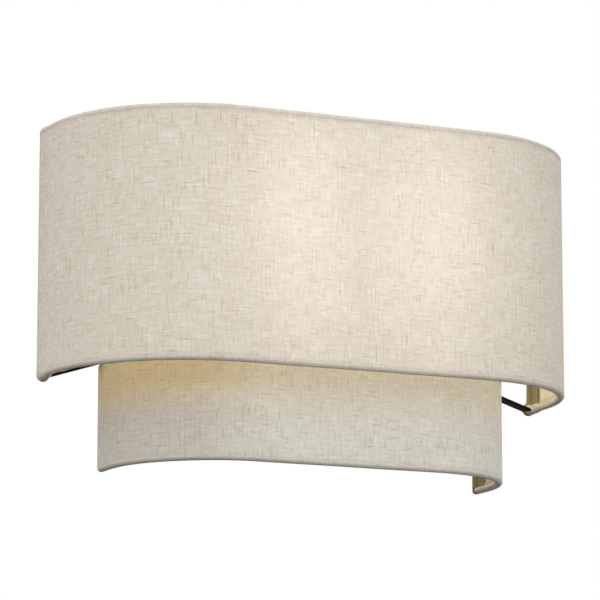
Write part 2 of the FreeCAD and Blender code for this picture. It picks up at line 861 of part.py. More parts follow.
def terminal_block():
    front, back = block_y()
    half = block_length / 2
    low = lead_z - block_height / 2
    high = lead_z + block_height / 2
    body = block(-half, half, front, back, low, high)
    body = body.makeFillet(block_edge, body.Edges)
    middle = (front + back) / 2
    cuts = [rod(stud_radius + touch, (0, front, lead_z), (0, front + block_fixing + 2 * block_edge, lead_z))]
    for side in sides.values():
        for z in lead_heights():
            inner = (side * (half - block_entry), middle, z)
            cuts.append(rod(lead_radius + running, inner, (side * half, middle, z)))
            screw_x = side * (half - block_screw_inset)
            cuts.append(rod(block_screw_hole, (screw_x, back - block_screw_depth, z), (screw_x, back, z)))
    low_end = (ground_screw_x, middle, high - block_entry)
    cuts.append(rod(ground_radius + running, low_end, (ground_screw_x, middle, high)))
    return body.cut(fuse(cuts))


def terminal_screws():
    front, back = block_y()
    screws = []
    for side in sides.values():
        for z in lead_heights():
            x = side * (block_length / 2 - block_screw_inset)
            head = back - screw_slot / 2
            screw = rod(block_screw_radius, (x, back - block_screw_depth + touch, z), (x, head, z))
            slot = block(x - block_screw_radius, x + block_screw_radius, head - screw_slot / 2, back,
                         z - screw_slot / 4, z + screw_slot / 4)
            screws.append(screw.cut(slot))
    return screws


def lamp_lead(z):
    """The right lamp's lead: out of the holder, back through the grommet and across to the block."""
    front, back = block_y()
    middle = (front + back) / 2
    start = (lamp_x, lamp_y + holder_radius - lead_entry + lead_tip_gap, z)
    end = (block_length / 2 - block_entry + lead_tip_gap, middle, z)
    return lead([start, (lamp_x, middle, z), end], lead_radius, lead_bend)


def ground_screw():
    """A green hexagon screw in the strap."""
    seat = -strap_sheet - 2 * ground_radius - 2 * touch
    x = ground_screw_x
    head = prism(m4_nut_flats, (x, seat, 0), (x, seat - m4_nut_height, 0))
    shank = rod(stud_radius, (x, seat, 0), (x, -touch, 0))
    slot = block(x - screw_slot / 2, x + screw_slot / 2, seat - m4_nut_height, seat - m4_nut_height / 2,
                 -m4_nut_flats, m4_nut_flats)
    return fuse([head, shank]).cut(slot)


def ground_lead():
    """A ring tag under the ground screw and the bare wire from it down to the terminal block."""
    front, back = block_y()
    middle = (front + back) / 2
    x = ground_screw_x
    y = -strap_sheet - touch - ground_radius
    into = lead_z + block_height / 2 - block_entry + lead_tip_gap
    back = (x, y + ground_radius, 0)
    face = (x, y - ground_radius, 0)
    tag = rod(ground_tag_radius, back, face).cut(rod(stud_radius + clearance / 2, back, face))
    start = (x, y, clearance - ground_tag_radius)
    route = [start, (x, y, -ground_tail), (x, middle, -ground_drop), (x, middle, into)]
    wire = lead(route, ground_radius, ground_bend)
    return fuse([tag, wire])


# ---------------------------------------------------------------- the whole light


def both(shape):
    return [shape, mirrored(shape)]


def shade_nodes():
    upper = (upper_width, upper_depth, upper_corner)
    lower = (lower_width, lower_depth, lower_corner)
    right = bracket_right()
    return {
        "bracket_right": [right],
        "bracket_left": [mirrored(right)],
        "upper_cover": [shade_cover(upper, upper_bottom, upper_top, tab_slits())],
        "upper_liner": [shade_liner(upper, upper_bottom, upper_top)],
        "upper_top_wire": [ring(upper, wire_radius, upper_top - hem_radius)],
        "upper_bottom_wire": [ring(upper, wire_radius, upper_bottom + hem_radius)],
        "upper_end_wires": end_wires(upper, upper_bottom, upper_top),
        "lower_cover": [shade_cover(lower, lower_bottom, lower_top, weld_holes())],
        "lower_liner": [shade_liner(lower, lower_bottom, lower_top)],
        "lower_top_wire": [ring(lower, wire_radius, lower_top - hem_radius)],
        "lower_bottom_wire": [ring(lower, wire_radius, lower_bottom + hem_radius)],
        "lower_end_wires": end_wires(lower, lower_bottom, lower_top),
    }


def wall_nodes():
    line_z, neutral_z = lead_heights()
    return {
        "mounting_strap": [mounting_strap()],
        "strap_studs": strap_studs(),
        "stud_nuts": stud_nuts(),
        "wall_pan": [wall_pan()],
        "weld_nuts": weld_nuts(),
        "socket_bracket": [socket_bracket()],
        "bracket_screws": bracket_screws(),
        "bracket_nuts": bracket_nuts(),
        "holder_nipples": both(holder_nipple()),
        "nipple_nuts": both(nipple_nut()),
        "lead_grommets": both(lead_grommet()),
        "line_leads": both(lamp_lead(line_z)),
        "neutral_leads": both(lamp_lead(neutral_z)),
        "terminal_block": [terminal_block()],
        "terminal_screws": terminal_screws(),
        "block_screw": [pan_screw(0, lead_z, pan_face + pan_sheet + block_fixing)],
        "ground_screw": [ground_screw()],
        "ground_lead": [ground_lead()],
    }


def sided_nodes():
    """Pieces that the light has once on the left and once on the right, each in a node of its own."""
    nodes = {}
    right_hand = {
        "lampholder_{}": lampholder(),
        "screw_shell_{}": screw_shell(),
        "centre_contact_{}": centre_contact(),
        "lamp_{}_cap": lamp_cap(),
        "lamp_{}_insulator": lamp_insulator(),
        "lamp_{}_eyelet": lamp_eyelet(),
        "lamp_{}_globe": lamp_globe(),
        "lamp_{}_light_engine": lamp_light_engine(),
        "cap_nut_{}": cap_nut(),
    }
    upper_screw = thumb_screw()
    lower_screw = upper_screw.copy()
    lower_screw.translate(Vector(0, 0, -thumb_screw_spacing))
    right_hand["thumb_screw_{}_upper"] = upper_screw
    right_hand["thumb_screw_{}_lower"] = lower_screw
    for name, shape in right_hand.items():
        for side, sign in sides.items():
            nodes[name.format(side)] = [on_side(shape, sign)]
    return nodes


def main():
    os.makedirs("parts", exist_ok=True)
    nodes = {**wall_nodes(), **sided_nodes(), **shade_nodes()}
    for name, solids in nodes.items():
        shape = solids[0] if len(solids) == 1 else Part.makeCompound(solids)
        shape.exportStep(f"parts/{name}.step")
        found = shape.Solids
        state = "ok" if all(s.isValid() and s.Volume > 0 for s in found) else "BAD"
        print(name, len(found), state, round(sum(s.Volume for s in found), 1))
    print(len(nodes), "nodes")


main()
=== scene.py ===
import json
import math

import bmesh
import bpy
from mathutils import Matrix, Vector


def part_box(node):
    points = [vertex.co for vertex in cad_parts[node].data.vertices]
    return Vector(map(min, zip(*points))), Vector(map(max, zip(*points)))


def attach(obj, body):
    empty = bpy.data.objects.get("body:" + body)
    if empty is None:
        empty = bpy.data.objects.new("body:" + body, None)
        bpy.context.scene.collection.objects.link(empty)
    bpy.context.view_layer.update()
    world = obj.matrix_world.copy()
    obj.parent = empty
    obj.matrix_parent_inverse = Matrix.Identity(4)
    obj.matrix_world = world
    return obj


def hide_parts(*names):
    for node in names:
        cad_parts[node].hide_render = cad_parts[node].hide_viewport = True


# Fabric shade wall light: two nested half-oval linen shades, lit by two candle lamps.
# Metres, in the part's frame: +X along the wall to the right, +Y into the wall, +Z up.

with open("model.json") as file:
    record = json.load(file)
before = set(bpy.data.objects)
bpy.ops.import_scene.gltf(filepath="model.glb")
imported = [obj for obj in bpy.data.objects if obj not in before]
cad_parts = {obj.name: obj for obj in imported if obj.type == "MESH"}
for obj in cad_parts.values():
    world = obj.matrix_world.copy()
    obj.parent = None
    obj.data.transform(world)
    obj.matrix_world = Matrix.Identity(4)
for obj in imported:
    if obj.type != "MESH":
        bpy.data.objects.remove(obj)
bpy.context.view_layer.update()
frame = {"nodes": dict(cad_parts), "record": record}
nodes = frame["nodes"]

MM = 0.001

# ---------------------------------------------------------------- colours and shader nodes

MATH = "ShaderNodeMath"
VECTOR = "ShaderNodeVectorMath"
NOISE = "ShaderNodeTexNoise"
RANGE = "ShaderNodeMapRange"  # inputs 0 to 4: value, from low, from high, to low, to high
# a mix's input 0 is its share; inputs 6 and 7 are colours, which give output 2,
# and inputs 2 and 3 are numbers, which give output 0
MIX = "ShaderNodeMix"
NOISE_LOW, NOISE_HIGH = 0.3, 0.7  # nearly all of a noise lies between these
PAIR_LOW, PAIR_HIGH = 0.7, 1.3  # and nearly all of two noises added


def tone(code):
    """A linear RGBA colour from an sRGB hex value."""
    channels = []
    for at in (1, 3, 5):
        c = int(code[at:at + 2], 16) / 255
        channels.append(c / 12.92 if c <= 0.04045 else ((c + 0.055) / 1.055) ** 2.4)
    return (*channels, 1.0)


def feed(tree, node, inputs):
    """Gives each input named a value, or a link from another node's output."""
    for name, value in inputs.items():
        if isinstance(value, bpy.types.NodeSocket):
            tree.links.new(value, node.inputs[name])
        else:
            node.inputs[name].default_value = value


def add(tree, kind, inputs=None, gives=0, **settings):
    """A new node with its settings and links, which hands back one of its outputs."""
    node = tree.nodes.new(kind)
    for name, value in settings.items():
        setattr(node, name, value)
    feed(tree, node, inputs or {})
    return node.outputs[gives] if node.outputs else node


def new_material(name):
    material = bpy.data.materials.new(name)
    material.use_nodes = True
    tree = material.node_tree
    return material, tree, tree.nodes["Principled BSDF"]


def streaks(tree, place, across, along, detail=2.0):
    """A pattern of marks of one size along U or X and another along V or Y, in metres."""
    scaled = add(tree, VECTOR, {0: place, 1: (1 / across, 1 / along, 1 / across)}, operation="MULTIPLY")
    return add(tree, NOISE, {"Vector": scaled, "Scale": 1.0, "Detail": detail}, noise_dimensions="2D")


# ---------------------------------------------------------------- finishes

THREAD = 0.7 * MM  # slub linen's thread spacing, drawn coarse enough to show
THREAD_RUN = 5 * MM  # how far one thread keeps its thickness
BUNCH = 1.4 * MM  # where threads lie close together
BUNCH_RUN = 9 * MM
CLUSTER = 7 * MM  # where they bunch more than elsewhere
CLUSTER_LOW, CLUSTER_HIGH = 0.35, 0.65
CLUSTER_LEAST, CLUSTER_MOST = 0.4, 1.6  # share of the bunching outside a cluster and in one
SLUB = 1.0 * MM  # thickness of a slub, also drawn coarse enough to show
SLUB_RUN = 11 * MM
SPECK = 1.1 * MM
SPECK_RUN = 1.8 * SPECK
PATCH = 22 * MM  # slow changes of tone along the bolt
# how much each of them changes the cloth's tone, as a share
THREAD_TONE = 0.03
BUNCH_TONE = 0.085
PATCH_TONE = 0.02
# the noise level at which a mark begins and is full, and how strongly its colour shows
SLUB_BEGINS, SLUB_FULL, SLUB_STRENGTH = 0.67, 0.83, 0.42
SPECK_BEGINS, SPECK_FULL, SPECK_STRENGTH = 0.80, 0.86, 0.8
MARKS_LIT = 0.5  # how strongly the same marks show with the light behind them
# thick threads are warmer than thin ones, so red varies less than green and blue more
TONE_LOW, TONE_HIGH = 0.5, 1.5
RED_LOW, RED_HIGH = 0.62, 1.38
BLUE_LOW, BLUE_HIGH = 0.3, 1.7
THREAD_HEIGHT = 0.1 * MM


def linen(name, cloth, slub, through, spill):
    """Slub linen laminated to a stiff sheet: uneven threads both ways, brown slubs and specks.
    A lamp behind it shines through between the threads, and light from the gap spills on to it."""
    material, tree, surface = new_material(name)
    place = add(tree, "ShaderNodeUVMap", uv_map="cloth")
    threads = add(tree, MATH, {
        0: streaks(tree, place, THREAD_RUN, THREAD), 1: streaks(tree, place, THREAD, THREAD_RUN),
    }, operation="ADD")
    bunches = add(tree, MATH, {
        0: streaks(tree, place, BUNCH_RUN, BUNCH), 1: streaks(tree, place, BUNCH, BUNCH_RUN),
    }, operation="ADD")
    clusters = streaks(tree, place, CLUSTER, CLUSTER)
    bolt = streaks(tree, place, PATCH, PATCH)

    weft_slub = add(tree, RANGE, {
        0: streaks(tree, place, SLUB_RUN, SLUB, 1.0), 1: SLUB_BEGINS, 2: SLUB_FULL})
    warp_slub = add(tree, RANGE, {
        0: streaks(tree, place, SLUB, SLUB_RUN, 1.0), 1: SLUB_BEGINS, 2: SLUB_FULL})
    slubs = add(tree, MATH, {0: weft_slub, 1: warp_slub}, operation="MAXIMUM")
    specks = add(tree, RANGE, {
        0: streaks(tree, place, SPECK_RUN, SPECK, 1.0), 1: SPECK_BEGINS, 2: SPECK_FULL})
    faint_slubs = add(tree, MATH, {0: slubs, 1: SLUB_STRENGTH}, operation="MULTIPLY")
    faint_specks = add(tree, MATH, {0: specks, 1: SPECK_STRENGTH}, operation="MULTIPLY")
    marks = add(tree, MATH, {0: faint_slubs, 1: faint_specks}, operation="MAXIMUM")

    even = add(tree, RANGE, {
        0: threads, 1: PAIR_LOW, 2: PAIR_HIGH, 3: 1 - THREAD_TONE, 4: 1 + THREAD_TONE})
    bunched = add(tree, RANGE, {0: bunches, 1: PAIR_LOW, 2: PAIR_HIGH, 3: -BUNCH_TONE, 4: BUNCH_TONE})
    share = add(tree, RANGE, {
        0: clusters, 1: CLUSTER_LOW, 2: CLUSTER_HIGH, 3: CLUSTER_LEAST, 4: CLUSTER_MOST})
    clustered = add(tree, MATH, {0: bunched, 1: share}, operation="MULTIPLY")
    woven = add(tree, MATH, {0: even, 1: clustered}, operation="ADD")
    patched = add(tree, RANGE, {0: bolt, 1: NOISE_LOW, 2: NOISE_HIGH, 3: -PATCH_TONE, 4: PATCH_TONE})
    level = add(tree, MATH, {0: woven, 1: patched}, operation="ADD")
    tint = add(tree, "ShaderNodeCombineColor", {
        0: add(tree, RANGE, {0: level, 1: TONE_LOW, 2: TONE_HIGH, 3: RED_LOW, 4: RED_HIGH}),
        1: level,
        2: add(tree, RANGE, {0: level, 1: TONE_LOW, 2: TONE_HIGH, 3: BLUE_LOW, 4: BLUE_HIGH}),
    })

    plain = add(tree, MIX, {0: 1.0, 6: tone(cloth), 7: tint}, gives=2, data_type="RGBA",
                blend_type="MULTIPLY")
    marked = add(tree, MIX, {0: marks, 6: plain, 7: tone(slub)}, gives=2, data_type="RGBA")
    height = add(tree, MATH, {0: threads, 1: slubs}, operation="ADD")
    bump = add(tree, "ShaderNodeBump", {"Height": height, "Strength": 0.35, "Distance": THREAD_HEIGHT})

    lit = add(tree, "ShaderNodeAttribute", gives="Fac", attribute_name="glow")
    warm = add(tree, "ShaderNodeAttribute", gives="Fac", attribute_name="spill")
    lit_marks = add(tree, MATH, {0: marks, 1: MARKS_LIT}, operation="MULTIPLY")
    shone = add(tree, MIX, {0: lit_marks, 6: tone(through), 7: tone(slub)}, gives=2, data_type="RGBA")
    shone = add(tree, MIX, {0: 1.0, 6: shone, 7: tint}, gives=2, data_type="RGBA", blend_type="MULTIPLY")
    shone = add(tree, VECTOR, {0: shone, "Scale": lit}, operation="SCALE")
    spilt = add(tree, VECTOR, {0: tone(spill)[:3], "Scale": warm}, operation="SCALE")
    total = add(tree, VECTOR, {0: shone, 1: spilt}, operation="ADD")
    feed(tree, surface, {
        "Base Color": marked, "Roughness": 0.9, "Specular IOR Level": 0.2, "Sheen Weight": 0.1,
        "Normal": bump, "Emission Color": total, "Emission Strength": 1.0,
    })
    return material


MOTTLE = 12 * MM  # clouds of tone in plastic and paint
STAIN = 5 * MM  # and in plating
SHEET_CLOUD = 9 * MM  # and in the styrene
COLUMN_CLOUD = 4 * MM  # and in the lamps' columns
GLOSS_VARIES = 0.05  # of the roughness, with the clouds
POLISH_VARIES = 0.07  # of the roughness, with the drawn marks
DRAWN_DEPTH = 0.02 * MM


def moulded(name, colour, roughness, grain=0.6 * MM, depth=0.03 * MM, gloss=0.5, mottle=0.06):
    """Plastic, rubber or paint: one colour with a faint mottle and a fine grain."""
    material, tree, surface = new_material(name)
    place = add(tree, "ShaderNodeTexCoord", gives="Object")
    cloud = add(tree, NOISE, {"Vector": place, "Scale": 1 / MOTTLE, "Detail": 3.0})
    fine = add(tree, NOISE, {"Vector": place, "Scale": 1 / grain, "Detail": 1.0})
    level = add(tree, RANGE, {0: cloud, 1: NOISE_LOW, 2: NOISE_HIGH, 3: 1 - mottle, 4: 1 + mottle})
    grey = add(tree, "ShaderNodeCombineColor", {0: level, 1: level, 2: level})
    mottled = add(tree, MIX, {0: 1.0, 6: tone(colour), 7: grey}, gives=2, data_type="RGBA",
                  blend_type="MULTIPLY")
    worn = add(tree, RANGE, {
        0: cloud, 1: NOISE_LOW, 2: NOISE_HIGH, 3: roughness - GLOSS_VARIES, 4: roughness + GLOSS_VARIES})
    bump = add(tree, "ShaderNodeBump", {"Height": fine, "Strength": 0.4, "Distance": depth})
    feed(tree, surface, {
        "Base Color": mottled, "Roughness": worn, "Specular IOR Level": gloss, "Normal": bump})
    return material


def metal(name, colour, stain, roughness, drawn=(0.25 * MM, 6 * MM)):
    """Bare or plated metal with fine drawn marks and a faint stain."""
    material, tree, surface = new_material(name)
    place = add(tree, "ShaderNodeTexCoord", gives="Object")
    marks = streaks(tree, place, *drawn)
    cloud = add(tree, NOISE, {"Vector": place, "Scale": 1 / STAIN, "Detail": 2.0})
    share = add(tree, RANGE, {0: cloud, 1: 0.4, 2: 0.75})
    stained = add(tree, MIX, {0: share, 6: tone(colour), 7: tone(stain)}, gives=2, data_type="RGBA")
    polish = add(tree, RANGE, {
        0: marks, 1: NOISE_LOW, 2: NOISE_HIGH, 3: roughness - POLISH_VARIES, 4: roughness + POLISH_VARIES})
    bump = add(tree, "ShaderNodeBump", {"Height": marks, "Strength": 0.25, "Distance": DRAWN_DEPTH})
    feed(tree, surface, {"Base Color": stained, "Metallic": 1.0, "Roughness": polish, "Normal": bump})
    return material


def styrene_sheet():
    """Translucent white lampshade sheet: smooth and a little glossy, faintly clouded."""
    material, tree, surface = new_material("styrene_sheet")
    place = add(tree, "ShaderNodeTexCoord", gives="Object")
    cloud = add(tree, NOISE, {"Vector": place, "Scale": 1 / SHEET_CLOUD, "Detail": 3.0})
    share = add(tree, RANGE, {0: cloud, 1: 0.35, 2: 0.7})
    clouded = add(tree, MIX, {0: share, 6: tone("#E0D4BB"), 7: tone("#DCCFB4")}, gives=2, data_type="RGBA")
    feed(tree, surface, {"Base Color": clouded, "Roughness": 0.38, "IOR": 1.59})
    return material


def frosted_globe():
    """Etched glass over a lit column: white and matt, brightest over the column, faint at the neck."""
    material, tree, surface = new_material("frosted_globe")
    place = add(tree, "ShaderNodeTexCoord", gives="Object")
    height = add(tree, "ShaderNodeSeparateXYZ", {0: place}, gives="Z")
    low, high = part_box("lamp_left_globe")
    rise = add(tree, RANGE, {0: height, 1: low.z, 2: (low.z + high.z) / 2, 3: 0.35, 4: 0.8})
    feed(tree, surface, {
        "Base Color": tone("#CFC9BD"), "Roughness": 0.32, "IOR": 1.52,
        "Emission Color": tone("#FFE3B8"), "Emission Strength": rise,
    })
    return material


def lit_column():
    """The yellow-white diffusing column of a filament-style lamp, bright along its whole height."""
    material, tree, surface = new_material("lit_column")
    place = add(tree, "ShaderNodeTexCoord", gives="Object")
    cloud = add(tree, NOISE, {"Vector": place, "Scale": 1 / COLUMN_CLOUD})
    clouded = add(tree, MIX, {0: cloud, 6: tone("#FFE7B0"), 7: tone("#FFD68A")}, gives=2, data_type="RGBA")
    feed(tree, surface, {
        "Base Color": clouded, "Emission Color": tone("#FFDFA6"), "Emission Strength": 1.0})
    return material


FINISHES = {
    # matt powder coat over steel: near-black with a warm purple cast and a fine orange-peel
    "bronze_paint": moulded("bronze_powder_coat", "#0E0709", 0.7, grain=0.9 * MM, depth=0.05 * MM,
                            gloss=0.05),
    # zinc plating: pale grey metal with a faint yellow-blue stain
    "zinc_steel": metal("zinc_plated_steel", "#C3C4C6", "#B8B7A6", 0.34),
    # white coated wire of the shades' rings: smooth, with a soft shine
    "ring_wire": moulded("white_coated_wire", "#DEDBD2", 0.4),
    # compression-moulded phenolic: black, half matt, with a faint flow mottle
    "phenolic": moulded("phenolic_moulding", "#141313", 0.36, grain=1.2 * MM, mottle=0.15),
    # pressed brass sheet: bright yellow, browner where it has tarnished
    "brass": metal("brass_sheet", "#D9B469", "#B98F45", 0.27),
    # nickel over brass: bright and warm grey, the shiniest metal here
    "nickel_cap": metal("nickel_plated_brass", "#CFCBC2", "#BDB7AB", 0.2),
    # glossy black glass between the cap and its contact
    "black_glass": moulded("insulating_glass", "#0C0C10", 0.12, depth=0.01 * MM),
    "frosted_glass": frosted_globe(),
    "lit_column": lit_column(),
    # moulded rubber: dull black with a coarse skin
    "grommet_rubber": moulded("moulded_rubber", "#1B1A1A", 0.75, grain=0.8 * MM, depth=0.05 * MM),
    # extruded PVC on the leads: even colour with a soft shine
    "black_wire": moulded("black_pvc_insulation", "#17171A", 0.38),
    "white_wire": moulded("white_pvc_insulation", "#E9E7E0", 0.38),
    # drawn copper: salmon pink, browner where it has been handled
    "bare_copper": metal("bare_copper_wire", "#D98A5C", "#A9603A", 0.3),
    # moulded nylon: milky, half matt
    "terminal_plastic": moulded("nylon_terminal_body", "#E4E0D4", 0.45, mottle=0.04),
    # green chromate over zinc, as on a ground screw: metal seen through a green film
    "green_zinc": metal("green_chromated_screw", "#2E7A4A", "#1F5C38", 0.36),
    "styrene_liner": styrene_sheet(),
}

SPILL = "#FFD05C"  # lamp light that has been between the shades
linen_upper = linen("slub_linen_upper", "#C9C2B4", "#94764E", "#FFEFDE", SPILL)
# the lower shade hangs out of the lamps' light, so its cloth looks greyer
linen_lower = linen("slub_linen_lower", "#CDC6BA", "#8A7858", "#ECF1EA", SPILL)
# turned to the inside: cloth against the styrene, seen without the light through it; the same linen painted
# darker and more olive than outside, as painted shade where only the lamps' warm light reaches it
linen_turned_shaded = linen("slub_linen_turned_in_shaded", "#8C8160", "#6B5836", "#FFEBD6", SPILL)


def dress_cad_nodes():
    for part in frame["record"]["subparts"]:
        finish = FINISHES.get(part["material_slot"])
        if finish:
            node = nodes[part["node"]]
            node.data.materials.clear()
            node.data.materials.append(finish)


# ---------------------------------------------------------------- linen covers

HEM_RADIUS = 2.25 * MM
HEM_PROUD = 0.5 * MM  # the solid's roll stands this far out from the linen's face
HEM_SHOWS = 0.12 * MM  # and this much of it shows as a step
SHADE_WALL_GAP = 0.5 * MM
INNER_FACE = 1.4 * MM  # from the outer face in to the liner's inner side
TURN_IN = 10 * MM
NARROW_TURN_IN = 4 * MM  # along the rings
TAB_REACH = 11 * MM  # how far along the ring a bracket's tab fills the hem
TAB_EASES = 3 * MM  # over the last of that
TAB_FILL = 0.6 * MM
CORNER_REACH = 5 * MM  # the folds of the wall corners make them this much fuller
CORNER_FILL = 0.7 * MM
WALL_CLEAR = 0.1 * MM  # the fuller corners are pressed flat this near the wall
BOTTOM_DRAWN = 0.84  # the bottom roll is drawn tighter than the others
ROLL_LIT = (-0.2, 0.9)  # sines of the angles round the roll where light starts to show and is full
HEM_WAVER = 0.06 * MM  # how unevenly the hem is rolled
EDGE_WAVER = 0.35 * MM  # how unevenly the turned-in edge was cut
SHORT_WAVE, LONG_WAVE, CROSS_WAVE = 9 * MM, 23 * MM, 6 * MM  # of that unevenness
CLOTH_OFF_LINER = 0.55 * MM  # the turned-in cloth's face stands this far off the liner
FOLD_LIFT = 0.25 * MM  # and the uprights lie over the other strips by this
OFFCUT = (0.4, 0.3)  # metres along and across the bolt to the turned-in strips' pattern
# the second finish is the linen painted darker, as painted shade on the cloth turned to the inside
OUTSIDE, SHADED_INSIDE = 0, 1  # a cover's two finishes
TAB_ASPECT = 2.5  # a tab is this much longer along the ring than it is tall
ALONG_STEP = 2 * MM  # of the cloth's grid
UP_STEP = 3 * MM
HEM_STEPS = 20  # round the wire
CORNER_STEPS = 6  # of the hem round a wall corner
WIRE_BACK = SHADE_WALL_GAP + HEM_RADIUS


class Plan:
    """The half-oval that a shade's linen follows, from its left wall end round to the right one."""

    def __init__(self, node, straight):
        low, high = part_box(node)
        self.half = (high.x - low.x) / 2 - HEM_PROUD
        self.depth = -low.y - HEM_PROUD
        self.low = low.z
        self.high = high.z
        self.straight = straight
        self.corner = self.depth - straight
        self.flat = self.half - self.corner
        self.turn = self.corner * math.pi / 2
        self.length = 2 * (straight + self.turn + self.flat)

    def at(self, run, height, out):
        """The point a run along the linen, at a height, and out from its face."""
        side = 1 if run > self.length / 2 else -1
        rest = run if side < 0 else self.length - run
        if rest < self.straight:
            return Vector((side * (self.half + out), -rest, height))
        if rest < self.straight + self.turn:
            angle = (rest - self.straight) / self.corner
            reach = self.corner + out
            return Vector((side * (self.flat + reach * math.cos(angle)),
                           -self.straight - reach * math.sin(angle), height))
        across = self.flat - (rest - self.straight - self.turn)
        return Vector((side * across, -self.depth - out, height))


def waver(along, across, size):
    """A small smooth unevenness from two waves whose lengths don't match."""
    short = math.sin(along / SHORT_WAVE)
    long = math.sin(along / LONG_WAVE + across / CROSS_WAVE)
    return size * (0.6 * short + 0.4 * long)


def flat_cloth(bm, columns, rows):
    """A new grid of cloth in the unit square, with the vertices in (column, row) order."""
    grid = bmesh.ops.create_grid(bm, x_segments=columns, y_segments=rows, size=0.5)
    return [(v, v.co.x + 0.5, v.co.y + 0.5) for v in grid["verts"]]


def lay(bm, uv, faces_before, flat, finish, turned=False):
    """Gives the faces added last their finish and their place in the uncut cloth."""
    faces = [f for f in bm.faces if f not in faces_before]
    for face in faces:
        face.smooth = True
        face.material_index = finish
        for loop in face.loops:
            loop[uv].uv = flat[loop.vert]
    if turned:
        bmesh.ops.reverse_faces(bm, faces=faces)
    return faces


def eased(value, low, high):
    """0 up to low, 1 from high, smooth between them."""
    share = min(1.0, max(0.0, (value - low) / (high - low)))
    return share * share * (3 - 2 * share)


def panel(bm, uv, plan, lights):
    """The linen's outer face, between the centres of its hems."""
    before = set(bm.faces)
    columns = round(plan.length / ALONG_STEP)
    rows = round((plan.high - plan.low) / UP_STEP)
    start = WIRE_BACK
    stretch = plan.length - 2 * start
    low = plan.low + HEM_RADIUS
    tall = plan.high - plan.low - 2 * HEM_RADIUS
    flat = {}
    for vert, s, t in flat_cloth(bm, columns, rows):
        run = start + s * stretch
        height = low + t * tall
        flat[vert] = (run, height)
        vert.co = plan.at(run, height, 0)
        for layer, amount in lights.items():
            vert[layer] = amount(plan, vert.co, run, height)
    lay(bm, uv, before, flat, OUTSIDE)


def hem_line(plan):
    """Stations along the wire round the whole edge: (run, height, direction out of the panel)."""
    start = WIRE_BACK
    end = plan.length - WIRE_BACK
    low = plan.low + HEM_RADIUS
    high = plan.high - HEM_RADIUS
    stations = []
    corners = [(start, low), (end, low), (end, high), (start, high)]
    for i, corner in enumerate(corners):
        following = corners[(i + 1) % 4]
        out = -math.pi / 2 + i * math.pi / 2
        span = math.dist(corner, following)
        count = max(2, round(span / ALONG_STEP))
        for k in range(count + 1):
            share = k / count
            run = corner[0] + share * (following[0] - corner[0])
            height = corner[1] + share * (following[1] - corner[1])
            stations.append((run, height, out))
        for k in range(1, CORNER_STEPS):
            stations.append((*following, out + k / CORNER_STEPS * math.pi / 2))
    return stations


def filling(plan, run, height):
    """How much a bracket's tab and the folded corner fill the upper shade's hem."""
    along = min(run, plan.length - run) - WIRE_BACK
    up = min(height - plan.low, plan.high - height) - HEM_RADIUS
    tab = 1 - eased(math.hypot(along, TAB_ASPECT * up), TAB_REACH - TAB_EASES, TAB_REACH)
    corner = 1 - eased(math.hypot(along, up), 0, CORNER_REACH)
    return TAB_FILL * tab + CORNER_FILL * corner


def on_bottom_ring(plan, height):
    return height < plan.low + 1.1 * HEM_RADIUS


def towards_the_inside(plan, point):
    """True for the inner part of the hems that run up the wall."""
    return point.y > -2 * WIRE_BACK and abs(point.x) < plan.half - 0.9 * HEM_RADIUS


def hems(bm, uv, plan, lights, tabs):
    """Linen rolled over the wire on all four edges, with fuller wall corners where a bracket's tabs are."""
    before = set(bm.faces)
    stations = hem_line(plan)
    flat = {}
    for vert, s, t in flat_cloth(bm, len(stations), HEM_STEPS):
        run, height, out = stations[round(s * len(stations)) % len(stations)]
        angle = t * 2 * math.pi  # round the wire, from the outer edge over the front
        filled = filling(plan, run, height) if tabs else 0
        radius = HEM_RADIUS + filled + waver(run, height, HEM_WAVER)
        over = radius * math.cos(angle)
        if on_bottom_ring(plan, height) and not filled:
            over *= BOTTOM_DRAWN
        rise = radius * math.sin(angle)
        vert.co = plan.at(run + over * math.cos(out), height + over * math.sin(out),
                          rise - HEM_RADIUS + HEM_SHOWS - filled)
        vert.co.y = min(vert.co.y, -WALL_CLEAR)
        outside = eased(math.sin(angle), *ROLL_LIT)
        for layer, amount in lights.items():
            vert[layer] = amount(plan, vert.co, run, height) * outside
        wrap = radius * (angle if angle < math.pi else angle - 2 * math.pi)
        flat[vert] = (run + wrap * math.cos(out), height + wrap * math.sin(out))
    faces = lay(bm, uv, before, flat, OUTSIDE)
    for face in faces:
        # the hems' inner side up the wall takes the darker linen: painted shade
        if towards_the_inside(plan, face.calc_center_median()):
            face.material_index = SHADED_INSIDE
    verts = list({v for f in faces for v in f.verts})
    bmesh.ops.remove_doubles(bm, verts=verts, dist=0.01 * MM)
    bmesh.ops.recalc_face_normals(bm, faces=[f for f in bm.faces if f not in before])


def turned_in(bm, uv, plan):
    """The raw edges folded to the inside: one strip along each edge, the uprights over the others."""
    low = plan.low + HEM_RADIUS
    high = plan.high - HEM_RADIUS
    end = plan.length - WIRE_BACK
    strips = [
        (WIRE_BACK, end, low, low + NARROW_TURN_IN, 0.0, OUTSIDE),
        (WIRE_BACK, end, high, high - NARROW_TURN_IN, 0.0, OUTSIDE),
        # the uprights take the darker linen: painted shade
        (WIRE_BACK, WIRE_BACK + TURN_IN, low, high, FOLD_LIFT, SHADED_INSIDE),
        (end, end - TURN_IN, low, high, FOLD_LIFT, SHADED_INSIDE),
    ]
    for run0, run1, height0, height1, lift, finish in strips:
        before = set(bm.faces)
        columns = max(4, round(abs(run1 - run0) / ALONG_STEP))
        rows = max(4, round(abs(height1 - height0) / UP_STEP))
        flat = {}
        for vert, s, t in flat_cloth(bm, columns, rows):
            run = run0 + s * (run1 - run0)
            height = height0 + t * (height1 - height0)
            if finish == OUTSIDE:
                height += t * waver(run, height0, EDGE_WAVER)
            else:
                run += s * waver(height, run0, EDGE_WAVER)
            flat[vert] = (run + OFFCUT[0], height + OFFCUT[1])
            vert.co = plan.at(run, height, -INNER_FACE - CLOTH_OFF_LINER - lift)
        mirrored = (run1 < run0) != (height1 < height0)
        lay(bm, uv, before, flat, finish, turned=not mirrored)


